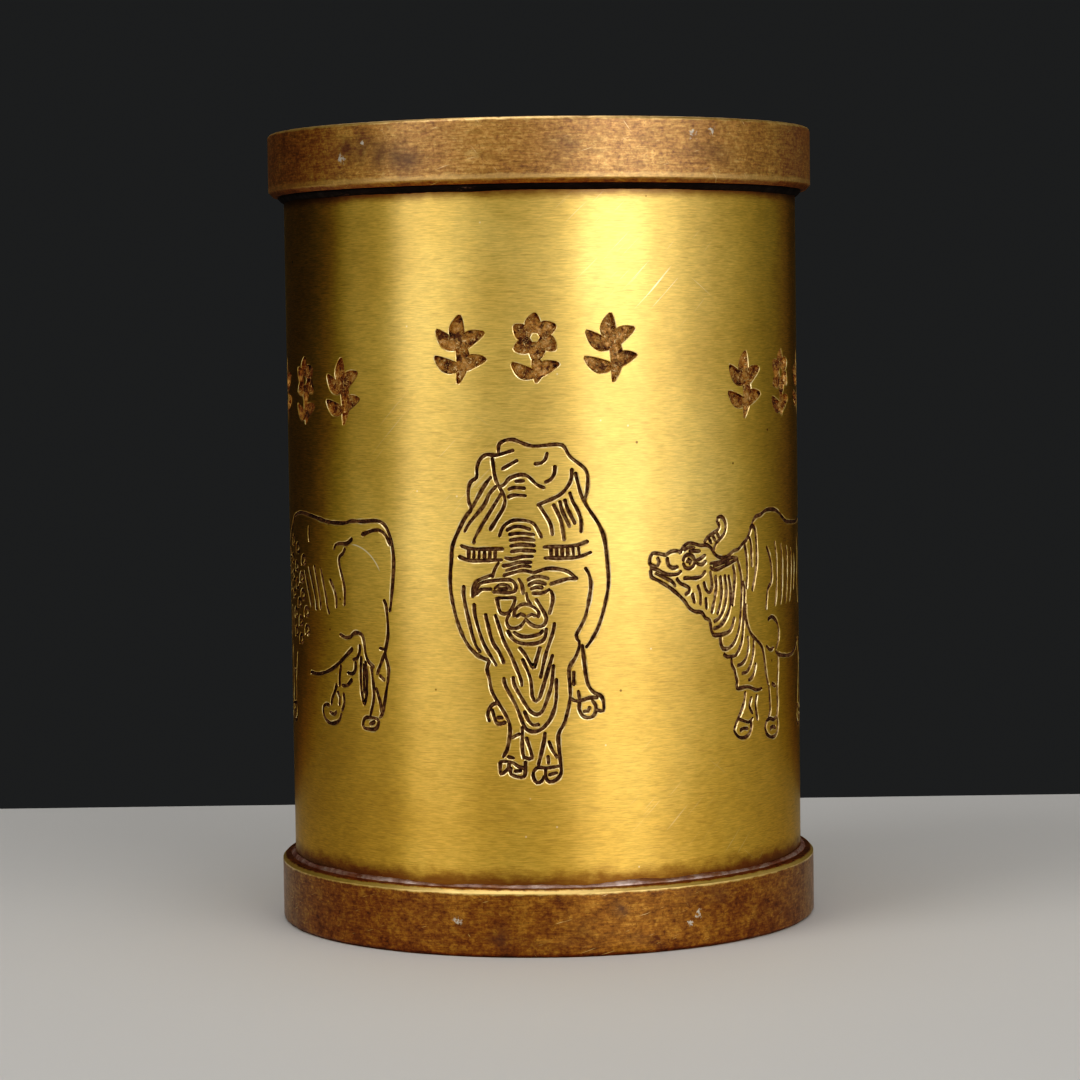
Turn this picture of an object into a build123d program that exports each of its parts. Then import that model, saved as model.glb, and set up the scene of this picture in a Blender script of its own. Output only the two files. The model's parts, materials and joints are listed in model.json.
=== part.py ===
from build123d import *
import os

# Brass pen holder cup: a round tube with a ring soldered round each end and a floor plate inside.
# Millimetres. +Z is up, and the origin is the centre of the underside.
# Every section is drawn on the XZ plane, as radius and height, and turned about Z.

# Body tube
TUBE_RADIUS = 35.0
TUBE_WALL = 2.0
CUP_HEIGHT = 107.4

# Rim ring: fits over the tube and closes over its end
RIM_RADIUS = 37.1
RIM_HEIGHT = 8.4
RIM_LIP = 2.4
RIM_EDGE_ROUND = 0.5
RIM_UNDER_CHAMFER = 0.65

# Foot ring: fits over the tube and has a ledge inside, at the bottom
FOOT_RADIUS = 36.75
FOOT_HEIGHT = 8.8
LEDGE_WIDTH = 4.0
LEDGE_THICKNESS = 2.5
FOOT_TOP_CHAMFER = 0.75
FOOT_BASE_ROUND = 0.6

# Floor plate: lies on the ledge, inside the foot ring, and the tube stands on it
FLOOR_THICKNESS = 2.0

# Solder seams: both legs of each fillet
RIM_SEAM = 0.95
FOOT_SEAM = 0.85

BORE_RADIUS = TUBE_RADIUS - TUBE_WALL
RIM_BOTTOM = CUP_HEIGHT - RIM_HEIGHT
TUBE_TOP = CUP_HEIGHT - RIM_LIP
LEDGE_RADIUS = TUBE_RADIUS - LEDGE_WIDTH
FLOOR_TOP = LEDGE_THICKNESS + FLOOR_THICKNESS


def seam_section(corner_height, leg, upward):
    """Draw the fillet of solder between the tube and the flat of a ring, above or below that flat."""
    with BuildLine() as outline:
        Polyline(
            (TUBE_RADIUS, corner_height),
            (TUBE_RADIUS + leg, corner_height),
            (TUBE_RADIUS, corner_height + (leg if upward else -leg)),
            close=True,
        )
    make_face(outline.edges())


with BuildPart() as body_tube:
    with BuildSketch(Plane.XY.offset(FLOOR_TOP)):
        Circle(TUBE_RADIUS)
        Circle(BORE_RADIUS, mode=Mode.SUBTRACT)
    extrude(amount=TUBE_TOP - FLOOR_TOP)

with BuildPart() as rim_ring:
    with BuildSketch(Plane.XZ):
        with BuildLine():
            Polyline(
                (TUBE_RADIUS, RIM_BOTTOM),
                (RIM_RADIUS, RIM_BOTTOM),
                (RIM_RADIUS, CUP_HEIGHT),
                (BORE_RADIUS, CUP_HEIGHT),
                (BORE_RADIUS, TUBE_TOP),
                (TUBE_RADIUS, TUBE_TOP),
                close=True,
            )
        make_face()
    revolve(axis=Axis.Z)
    rim_circles = rim_ring.edges().filter_by(GeomType.CIRCLE)
    fillet(rim_circles.group_by(Axis.Z)[-1], radius=RIM_EDGE_ROUND)
    rim_circles = rim_ring.edges().filter_by(GeomType.CIRCLE)
    chamfer(rim_circles.group_by(Axis.Z)[0].sort_by(SortBy.RADIUS)[-1], length=RIM_UNDER_CHAMFER)

with BuildPart() as foot_ring:
    with BuildSketch(Plane.XZ):
        with BuildLine():
            Polyline(
                (LEDGE_RADIUS, 0),
                (FOOT_RADIUS, 0),
                (FOOT_RADIUS, FOOT_HEIGHT),
                (TUBE_RADIUS, FOOT_HEIGHT),
                (TUBE_RADIUS, LEDGE_THICKNESS),
                (LEDGE_RADIUS, LEDGE_THICKNESS),
                close=True,
            )
        make_face()
    revolve(axis=Axis.Z)
    foot_circles = foot_ring.edges().filter_by(GeomType.CIRCLE)
    chamfer(foot_circles.group_by(Axis.Z)[-1].sort_by(SortBy.RADIUS)[-1], length=FOOT_TOP_CHAMFER)
    foot_circles = foot_ring.edges().filter_by(GeomType.CIRCLE)
    fillet(foot_circles.group_by(Axis.Z)[0].sort_by(SortBy.RADIUS)[-1], radius=FOOT_BASE_ROUND)

with BuildPart() as floor_plate:
    with BuildSketch(Plane.XY.offset(LEDGE_THICKNESS)):
        Circle(TUBE_RADIUS)
    extrude(amount=FLOOR_THICKNESS)

with BuildPart() as rim_solder:
    with BuildSketch(Plane.XZ):
        seam_section(RIM_BOTTOM, RIM_SEAM, upward=False)
    revolve(axis=Axis.Z)

with BuildPart() as foot_solder:
    with BuildSketch(Plane.XZ):
        seam_section(FOOT_HEIGHT, FOOT_SEAM, upward=True)
    revolve(axis=Axis.Z)

os.makedirs("parts", exist_ok=True)

body_tube.part.label = "body_tube"
export_step(body_tube.part, "parts/body_tube.step")

rim_ring.part.label = "rim_ring"
export_step(rim_ring.part, "parts/rim_ring.step")

foot_ring.part.label = "foot_ring"
export_step(foot_ring.part, "parts/foot_ring.step")

floor_plate.part.label = "floor_plate"
export_step(floor_plate.part, "parts/floor_plate.step")

rim_solder.part.label = "rim_solder"
export_step(rim_solder.part, "parts/rim_solder.step")

foot_solder.part.label = "foot_solder"
export_step(foot_solder.part, "parts/foot_solder.step")
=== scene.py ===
import json
import math
from contextlib import contextmanager
from functools import reduce

import bmesh
import bpy
import numpy as np
from mathutils import Matrix, Vector

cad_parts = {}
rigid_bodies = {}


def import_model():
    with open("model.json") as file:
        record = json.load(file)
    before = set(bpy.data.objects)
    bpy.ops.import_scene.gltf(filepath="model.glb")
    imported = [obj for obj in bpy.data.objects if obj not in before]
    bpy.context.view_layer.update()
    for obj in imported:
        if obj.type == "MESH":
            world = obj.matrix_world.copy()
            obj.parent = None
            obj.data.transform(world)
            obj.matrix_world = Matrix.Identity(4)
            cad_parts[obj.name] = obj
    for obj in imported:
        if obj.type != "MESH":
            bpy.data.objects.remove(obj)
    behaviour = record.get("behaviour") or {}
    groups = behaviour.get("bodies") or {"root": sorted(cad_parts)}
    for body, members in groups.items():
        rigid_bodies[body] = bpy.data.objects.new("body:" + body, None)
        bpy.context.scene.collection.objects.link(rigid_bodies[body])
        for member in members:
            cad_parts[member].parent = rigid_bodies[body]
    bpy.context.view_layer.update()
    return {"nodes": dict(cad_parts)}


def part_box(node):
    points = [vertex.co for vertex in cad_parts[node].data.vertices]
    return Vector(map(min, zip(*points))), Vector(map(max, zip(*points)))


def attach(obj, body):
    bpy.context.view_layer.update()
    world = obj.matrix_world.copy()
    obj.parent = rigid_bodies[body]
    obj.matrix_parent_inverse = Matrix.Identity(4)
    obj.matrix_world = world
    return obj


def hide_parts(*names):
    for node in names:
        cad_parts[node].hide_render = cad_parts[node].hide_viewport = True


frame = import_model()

# A brass pen cup: an engraved tube with a browned ring soldered round each end and a floor plate.
# Lengths are millimetres until a mesh is made. Round the cup, distance and angle are counted from
# the front line, on the -Y side, and grow to the right as seen from the front.
MM = 0.001
TAU = 2 * math.pi


def size_of(node):
    """Radius, lowest and highest point of a round CAD node."""
    low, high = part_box(node)
    return high.x / MM, low.z / MM, high.z / MM


TUBE_RADIUS, TUBE_BOTTOM, TUBE_TOP = size_of("body_tube")
RIM_RADIUS, RIM_BOTTOM, RIM_TOP = size_of("rim_ring")
FOOT_RADIUS, FOOT_BOTTOM, FOOT_TOP = size_of("foot_ring")
PLATE_BOTTOM = size_of("floor_plate")[1]
RIM_BEAD = size_of("rim_solder")[1:]
FOOT_BEAD = size_of("foot_solder")[1:]
WALL, LEDGE = 2.0, 4.0
BORE_RADIUS = TUBE_RADIUS - WALL
LEDGE_RADIUS = TUBE_RADIUS - LEDGE

# Each drawing is a list of strokes, and a stroke is the points that it passes through, as
# (distance round the tube, height above the table) in millimetres. Strokes that repeat are spaced
# evenly between the first and the last of them.

FRONT_OX = [
    # hump and shoulders
    [(-5.7, 64.9), (-5.5, 66), (-3.9, 66.5), (-1.4, 65.65), (1.9, 65.8), (2.8, 65.4), (3.5, 64.2),
     (5.4, 62.6), (5.75, 61.2), (5.6, 59.6), (5.3, 58.4), (6, 57.2), (7.2, 55.3), (7.9, 53.2), (8.3, 48.5),
     (7.9, 45.6), (7, 42.6), (6, 40.7), (5.3, 39.8)],
    [(-3.8, 65.1), (-6, 64.5), (-7.2, 64.6), (-8.1, 64), (-8.55, 62.9), (-8.6, 61.7), (-9.4, 61.1),
     (-9.75, 60), (-9.7, 58.6), (-9.4, 57.6), (-10.3, 56.4), (-11.9, 53.2), (-12.2, 51), (-12.4, 48.2),
     (-12.1, 45.6), (-11.3, 42.6), (-10.2, 40.3), (-8.9, 38.9), (-7.4, 38.2)],
    [(-6.5, 64.1), (-6.1, 61.4), (-5, 59.2), (-5.1, 57.9), (-5.8, 56.7), (-6.9, 55)],
    [(-5.6, 60.45), (-5, 60.75), (-4.2, 61.6), (-2.3, 61.95), (-0.8, 60.7), (0.1, 60.3)],
    [(-5.2, 62.75), (-3.3, 63.8)], [(-1, 63.35), (-0.2, 63.45), (0.35, 63.95), (0.55, 64.7)],
    [(0.3, 61), (0.95, 61.3), (1.45, 62.05), (1.55, 63)],
    [(3.7, 62.6), (3.6, 61.3), (3, 60.2), (1.9, 59.2), (-0.7, 58.1)],
    [(4.15, 62.1), (4.8, 59.5), (5.3, 58.4)], [(-3.5, 61.15), (-2.5, 61.2)],
    [(-4.4, 60.15), (-3.6, 60.35), (-2.4, 60.25)], [(-4.5, 59.15), (-3.7, 59.4), (-2.3, 59.3)],
    # folds at the left and the right of the neck
    [(-6.7, 61.7), (-7.6, 60.6), (-9.2, 57.9)],
    [(-6.1, 60.5), (-7, 59.5), (-7.7, 58.1), (-9.6, 55.9), (-10.3, 54.8)],
    [(-5.4, 59.6), (-8.7, 54.4), (-9.1, 53.3)], [(-0.5, 58), (0.8, 55.8), (1.1, 54.3)],
    [(1.3, 58.1), (2.2, 56.1), (2.6, 53.6)], [(2.1, 58.5), (2.4, 57.3), (3.3, 55.3)],
    [(2.75, 58.7), (3.1, 57.5), (4, 55.7)], [(3.4, 59.6), (3.8, 58.4), (4.4, 57.3), (4.8, 56), (4.8, 54.6)],
    # horns, hatched
    [(-5.3, 52.5), (-9.2, 52.5), (-10.8, 52.9)], [(-5.5, 51.1), (-9.4, 51), (-11.1, 51.5)],
    [(0, 52.7), (3.8, 52.8), (5.6, 53.3)], [(0.1, 51.3), (4, 51.3), (6, 51.9)],
    *np.linspace([(-6.3, 52.2), (-6.35, 51.35)], [(-9.8, 52.35), (-9.85, 51.4)], 6),
    *np.linspace([(0.9, 52.45), (0.9, 51.5)], [(4.4, 52.6), (4.5, 51.65)], 6),
    # forelock
    [(-5.7, 54.2), (-5.3, 55.2), (-4.5, 55.9), (-3.4, 56.2), (-1.4, 55.8), (-0.3, 54)],
    [(-4.7, 54.9), (-3.9, 55.3), (-2.9, 55.35), (-1.8, 55)],
    *np.linspace([(-4.4, 54.35), (-3, 54.5), (-1.3, 54.3)], [(-4.2, 52.15), (-2.9, 52.3), (-1.2, 52.2)], 4),
    [(-5, 51.35), (-4, 51.2), (-2.8, 51.5), (-1.5, 51.5)],
    # brow
    [(-5.3, 50.35), (-4.4, 50.45), (-3.2, 50.8), (-1.7, 50.75)], [(-4.85, 49.75), (-2.9, 50.3), (-1.8, 50.2)],
    [(-5.2, 49.1), (-2.9, 49.7), (-1.6, 49.5)],
    # ears
    [(-5.9, 50.7), (-6.4, 49.9), (-6.7, 48.95)], [(-6.8, 49.15), (-8.7, 48.4), (-9.3, 47.4), (-9.35, 46.4)],
    [(-9.1, 46.6), (-8.6, 47.8), (-7.6, 48.3), (-5, 48.55), (-4.1, 48.4), (-3.7, 47.8), (-3.75, 47.2),
     (-4.4, 46.9), (-6.6, 47)],
    [(-8.9, 46.75), (-8.2, 47.3), (-6.9, 47.35)], [(-1.4, 49.4), (0.6, 49.95), (2.8, 49.6), (4.15, 48.6)],
    [(4.1, 48.6), (2.9, 48.55), (0.8, 47.95)],
    # eyes
    [(-6.4, 47.45), (-5.9, 47.85), (-5.3, 47.95), (-4.7, 47.75), (-4.4, 47.4)], [(-5.9, 47.35), (-4.8, 47.4)],
    [(-2.1, 48.5), (-1.4, 48.85), (-0.4, 48.9), (0.45, 48.65)],
    [(-2, 47.8), (-1.4, 48.15), (-0.6, 48.2), (0.1, 47.95)], [(-1.7, 47.35), (-1, 47.55), (-0.3, 47.5)],
    [(-1.5, 46.8), (-0.7, 46.75), (0.1, 46.95), (0.6, 47.25), (1, 46.6), (1, 45.6), (0.6, 44.2)],
    [(-6, 46.2), (-3.8, 46.25)], [(-6.2, 46.2), (-5.7, 44.3), (-4.7, 44.3), (-4.1, 45.1), (-3.8, 46)],
    # nose and muzzle
    [(-3.3, 48.6), (-2.9, 47.9), (-2.75, 46.8)], [(-2.35, 46.8), (-2.2, 46), (-1.85, 45.4)],
    [(-4, 43.9), (-3.8, 44.7), (-3.1, 45.3), (-2.3, 45.4), (-1.4, 45), (-0.8, 44.4), (-0.85, 43.8)],
    [(-3.6, 43.85), (-3.1, 44.15), (-2.6, 43.9)], [(-2.2, 43.85), (-1.7, 44.1), (-1.2, 43.9)],
    [(-1.1, 46), (0, 44.1), (0.15, 43.3), (-0.2, 42.65), (-1, 42.5), (-1.8, 42.8), (-2.5, 43.5)],
    [(-4.6, 44.1), (-4.95, 43.3), (-4.7, 42.5), (-4, 42.3), (-3.2, 42.5), (-2.6, 43.3)],
    [(-4, 41.8), (-3.4, 41.4), (-2.5, 41.2), (-0.8, 41.5), (-0.35, 41.95)],
    [(-4.8, 42), (-4.3, 41.1), (-3.6, 40.55), (-2.5, 40.3), (-1.2, 40.35), (-0.4, 40.65), (0, 41.2),
     (0.15, 42.2)],
    # folds down the left side of the neck
    [(-10.55, 47.7), (-10.5, 46), (-9.3, 40.8), (-8.5, 39.3)],
    [(-9.2, 45.4), (-9.05, 43.8), (-8.05, 40.5), (-6.4, 37.6)],
    [(-7.7, 44.1), (-6.9, 40.8), (-6, 39.3), (-5.4, 37.9)],
    [(-6.4, 44), (-5.3, 40.6), (-4.5, 39), (-3.3, 36), (-3.1, 35)],
    # dewlap
    [(-3.3, 39.8), (-2.6, 38.9), (-1.6, 37.2), (-1.3, 37.8), (-0.7, 39.8)],
    [(1.2, 42.9), (1, 41.8), (0, 38.8), (-0.65, 36)],
    [(-2.95, 38.3), (-2, 35.9), (-1.75, 33.5), (-1.3, 32.9), (-0.9, 33.2), (-0.5, 34.3), (0.9, 38.8)],
    [(-4.2, 36), (-4, 34.9), (-2.6, 32.4), (-1.9, 31.5), (-1.2, 31.2), (-0.6, 31.5), (-0.1, 32.5),
     (0.7, 34.9), (1, 37.5)],
    [(-5.4, 35.9), (-5.2, 34.9), (-3.9, 32.4), (-2.9, 29.8), (-2.3, 29.15), (-1.4, 29), (-0.5, 29.4),
     (0.4, 30.4), (1, 31.7), (1.3, 33.3), (1.35, 35.7)],
    [(-2.8, 31.6), (-2.3, 30.4), (-1.7, 29.85), (-1, 29.9)],
    # left foreleg, its hoof and the hind hoof behind it
    [(-7.3, 38.1), (-7.6, 37), (-7.3, 35.8), (-7.1, 34.5), (-6.6, 33.4), (-4.8, 30.1), (-5, 27.1),
     (-5.6, 25.8)],
    [(-3.1, 29.6), (-3.15, 26.8), (-2.95, 25.6)], [(-2.6, 28.2), (-1.9, 25.6), (-2.8, 25.65)],
    [(-4.4, 28.25), (-3.5, 28.7)], [(-6, 25.1), (-5.2, 25.15), (-4.3, 24.95), (-3.7, 24.5), (-2.9, 24.3)],
    [(-5, 25.75), (-4.3, 25.6)], [(-6.05, 25), (-6, 23.5), (-4.95, 24.3), (-4.9, 24.8)],
    [(-4.65, 24.3), (-4.65, 23.5), (-3, 23.2), (-2.75, 25.1)], [(-4.1, 23.9), (-3.4, 23.95)],
    [(-6.2, 32.7), (-6.9, 32.5), (-7.4, 31.9), (-7.6, 31.1), (-7.4, 30.4)],
    [(-7, 31.8), (-6.5, 30.2), (-5.9, 30), (-5.3, 30.2)], [(-6.3, 30.8), (-5.7, 30.8)],
    # right foreleg and its hoof
    [(-0.2, 28.8), (-0.4, 27.4), (-1.1, 24.7)],
    [(5.3, 49.9), (5.8, 48.9), (5.95, 47.2), (5.2, 43.7), (4, 41.3), (4.35, 40.5), (4.3, 39.6), (3.8, 38.4),
     (3.1, 37.3), (3, 36.3), (3.1, 33.3), (2.4, 30.3), (1.7, 29), (1.5, 27.9), (1.75, 24.9), (1.8, 23.6),
     (1.2, 22.75), (0.3, 22.5), (-0.15, 23), (-0.2, 24.1)],
    [(0.3, 27.7), (0.7, 26.6), (1.3, 25.7)], [(0.15, 25.8), (0.2, 24.9)],
    [(-1.2, 24.4), (0, 24.3), (1.5, 24.5)],
    [(-1.3, 24.3), (-1.75, 23.8), (-1.75, 23), (-1.3, 22.4), (-0.7, 22.6), (-0.4, 23.2)],
    [(0.3, 23.4), (1.2, 23.65)],
    # right hind leg and its hoof
    [(4.75, 40), (5.2, 36), (5.6, 34.6), (6.3, 33.8), (7, 33.5), (7.4, 32.8), (7.4, 31.5), (6.6, 31.6)],
    [(3.6, 36.6), (3.6, 35)], [(4.15, 34.1), (4.3, 33.2)],
    [(3.3, 33.1), (4.1, 32.8), (5.6, 33.2), (6.6, 33.2)],
    [(4.3, 32.6), (4.25, 31.8), (4.6, 31), (5.3, 30.65), (6, 30.8), (6.4, 31.4), (6.4, 32.2), (6, 32.8)],
    [(4.9, 31.5), (5.4, 31.5), (5.6, 32)],
]

RAISED_OX = [
    # muzzle, mouth and jaw
    [(16.3, 51.2), (14.4, 51.5), (13.95, 50.3), (14.5, 49.85), (15.1, 49.9), (15.35, 50.4), (15.1, 50.9)],
    [(16.3, 51.2), (17, 51.6), (17.9, 51.7), (18.6, 51.5)],
    [(14.1, 49.6), (14.9, 49.4), (16.5, 48.7), (18.1, 48.7), (18.5, 49)],
    [(14.1, 49.3), (14.2, 48.5), (15.1, 48), (17.1, 46.8), (19, 45.2), (19.7, 44.3), (20.6, 43.7),
     (21.8, 43.5), (22.4, 42.7), (23.1, 42.4), (23.5, 40.8), (24.2, 40.35), (26.4, 40.6), (27.2, 41.3),
     (27.6, 42.4)],
    [(14.8, 48.9), (17.1, 47.8), (17.6, 47.2)], [(16.5, 50.8), (16.7, 49.9), (17.3, 49.5), (18, 49.6)],
    [(17.9, 48.1), (18.4, 47.5), (19.8, 46.8), (19.7, 46.2), (19.2, 46)],
    [(19, 48.1), (21.2, 48.05), (22, 48.35), (22.4, 48.8)],
    # eye and brow
    [(18.9, 50.4), (19.2, 50.95), (19.9, 51.15), (20.5, 50.8), (20.75, 50.2), (20.5, 49.6), (19.8, 49.3),
     (19.2, 49.5), (18.9, 50)],
    [(19.5, 50.2), (19.8, 50.55), (20.15, 50.25), (19.9, 49.95)],
    [(18.4, 51.4), (19.3, 52.45), (20.2, 52.6), (21.8, 52.2), (22.7, 52.25), (23.5, 51.8), (24, 51.1),
     (24.7, 50.6), (25.6, 50.4), (26.6, 50.6), (27.6, 51.2), (28.6, 51.4), (29.4, 52), (30.3, 52.5),
     (31, 53.4), (31.6, 54.6), (32.4, 55.4), (33.8, 55.7), (35.3, 56.2), (38.1, 56), (41.4, 54.5),
     (43.2, 54.2), (48, 54), (52.6, 54.5), (54.6, 54.2), (56, 53), (56.7, 51)],
    [(19.1, 51.8), (20, 52.1), (20.6, 52)], [(19.9, 51.6), (21.5, 51.5)],
    [(20.9, 50.3), (21.7, 50.5), (22.4, 50.9)], [(21.1, 49.9), (21.9, 49.7), (22.5, 50.1)],
    # horn and ear
    [(22.4, 52.6), (22.9, 53.2), (24.7, 54.1), (24.95, 54.7), (24.6, 55.2), (24.7, 55.7), (25.4, 55.8),
     (26, 55.2), (26.15, 54.4), (25.8, 53.5), (24.3, 52.3), (24, 51.6)],
    [(23.1, 53.1), (23.5, 52.5)], [(23.8, 53.4), (24.2, 52.8)], [(24.5, 53.7), (24.9, 53.2)],
    [(23.3, 49.8), (25.9, 50), (27.2, 50.35), (28.3, 50.2)],
    [(28.3, 50.1), (25, 49.05), (24, 48.95), (23.3, 49.3)], [(23.9, 49.45), (26.6, 49.95)],
    # folds of the neck
    [(21.2, 47), (21.6, 45.9), (21.6, 44.6)], [(20.3, 46), (20.6, 44.9)],
    [(22.2, 47.4), (22.5, 46.5), (23.1, 46), (23.6, 46.7), (23.3, 48.7)], [(22.5, 45.3), (22.6, 44)],
    [(24.2, 48.1), (24.3, 46.4), (23.5, 43.4)], [(25.1, 48), (25.3, 46), (25, 44.4), (24.5, 43.2)],
    [(25.9, 48.1), (26.2, 46.2), (26, 44.6), (25.5, 43.4), (24.7, 42.5), (23.9, 42.2)],
    [(26.6, 48), (27, 46), (26.9, 44.3), (26.4, 43), (25.6, 42), (24.6, 41.4), (23.8, 41.3)],
    [(27.5, 49.3), (27.8, 47.6), (27.3, 44.1)],
    [(28.4, 49.9), (29, 48.2), (29.2, 46.2), (28.8, 42), (28.3, 40.3), (27.5, 39.1), (26.6, 38.55)],
    [(29.9, 51.9), (30.3, 50.3), (30.4, 48.2), (30.2, 46.2)], [(30.8, 52.9), (31.3, 52), (31.45, 49)],
    [(31.1, 54), (31.8, 54.25), (32.4, 53.3), (32.6, 49.8), (32.2, 47.7), (31.5, 45.8)],
    [(29.5, 47), (29.8, 45.4), (29.3, 40), (28.7, 38.4), (27.9, 37.5)],
    # scalloped edge of the dewlap
    [(25, 40), (25.05, 39.2), (25.5, 38.5), (26.4, 38.45)], [(25.6, 37.8), (26.2, 37.4), (27.7, 37.4)],
    [(27, 37), (27.1, 36.2), (27.6, 35.5), (27.8, 34.7), (28.1, 34), (28.05, 33.1), (30.3, 33.1),
     (32.3, 32.5), (33.4, 32.6)],
    [(30.4, 39.7), (30.5, 38.5), (30.1, 37.1), (29.2, 36.3), (28.2, 36.1)],
    [(31.7, 39.1), (31.6, 37.5), (31, 36), (30.1, 35.1), (29.1, 35)],
    [(32.1, 36), (31.8, 35), (31.2, 34.2), (30.5, 34)],
    # shoulder and ribs
    [(30, 44), (30, 42.4), (30.5, 41), (31.3, 39.9), (33.4, 38.4), (34.1, 37.3), (34.8, 34.2), (35.3, 33)],
    [(35.2, 51.3), (36, 50), (36.6, 48.3), (36.5, 46.6), (35.4, 45.6), (34.9, 43.1)],
    *np.linspace([(37.6, 51.8), (38.1, 49.6), (38, 45), (37.5, 43.4)],
                 [(43.9, 50.5), (44.3, 48.6), (43.7, 44.8), (43.1, 43.6)], 4),
    [(45.8, 49.6), (46.1, 48), (45.5, 45)],
    [(35.4, 41.6), (36.3, 41.9), (37.3, 41.6), (38.3, 40.8), (38.7, 39.5), (38.4, 38.3), (37.7, 37.6)],
    [(34.9, 38.1), (35.9, 37.5), (36.8, 37.7)],
    # belly
    [(37.6, 37.2), (38.8, 36.6), (42.6, 36.2), (44.8, 36.4), (46.8, 37), (48.4, 38)],
    # near foreleg
    [(29.7, 32.4), (29.5, 31.3), (29, 30.2), (27.7, 28.4)], [(32.3, 31.8), (32, 30.6), (32.4, 28.6)],
    [(31, 31.6), (30.6, 30.5), (31.2, 29.6)], [(28.4, 29), (30.4, 28.4), (31.2, 28.8)],
    [(27.7, 28.3), (27.4, 27.6), (27.9, 26.9), (28.7, 26.5), (29.8, 26.5), (30.6, 26.9), (31, 27.7),
     (30.9, 28.4)],
    [(28.6, 27.5), (29.3, 27.7), (30.1, 27.6)],
    # far foreleg
    [(35.5, 32.6), (35.8, 29.6), (35.3, 28.6)],
    [(38.4, 37), (38.3, 34.5), (38, 32), (38.1, 30), (37.8, 28.4)], [(36.3, 33), (37.3, 32.6)],
    [(34.8, 28.2), (35.8, 28.35), (36.8, 28.1), (37.7, 28.4)],
    [(34.7, 28.1), (34.4, 27.2), (34.9, 26.3), (36, 25.85), (37.2, 25.9), (38, 26.6), (38.1, 27.6),
     (37.8, 28.3)],
    [(35.7, 27), (36.5, 27.2), (37.2, 27)],
    # haunch and tail
    [(48.4, 51.6), (49.2, 50), (48.6, 46.4), (48.8, 44.6), (49.4, 43)],
    [(50.8, 52.2), (52, 51.4), (52.6, 50.2)],
    [(56, 52.6), (56.9, 50.4), (57.2, 47.6), (57.1, 44.6), (56.8, 41.6), (57.2, 36.8)],
    [(55.9, 50.6), (56.2, 48), (55.8, 42), (55.9, 39.6)],
    [(55.9, 39.6), (55.4, 37.6), (55.8, 35.4), (56.6, 33.6), (57.2, 35.2), (57.3, 36.8)],
    [(56.3, 38.4), (56.5, 35.2)],
    # near hind leg
    [(48.4, 38), (48.9, 36.4), (49.7, 35), (49.6, 33.4), (48.9, 31.8), (48.1, 28.8)],
    [(55.6, 45), (54.1, 40.2), (52.9, 38.4), (52.7, 36.6), (53.1, 34.9), (52.3, 33.2), (51.1, 29.8),
     (50.9, 28.6)],
    [(50.2, 35.8), (51, 34.8), (51.8, 34.6)], [(48, 28.6), (49, 28.8), (50, 28.5), (50.9, 28.7)],
    [(47.9, 28.5), (47.5, 27.5), (48, 26.6), (49.1, 26.2), (50.3, 26.3), (51.1, 27), (51.2, 28),
     (50.9, 28.6)],
    [(48.7, 27.3), (49.5, 27.5), (50.3, 27.3)],
    # far hind leg
    [(53.4, 37), (54, 35.4), (53.9, 33.6), (53.4, 31.8), (53.2, 30.2)],
    [(55.3, 36.4), (55.4, 34.6), (55, 32.6), (54.9, 31), (55.1, 30)],
    [(53.1, 30), (52.8, 29.2), (53.3, 28.4), (54.3, 28.2), (55.2, 28.5), (55.5, 29.3), (55.2, 30),
     (54.2, 30.15), (53.2, 30)],
]

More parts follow.
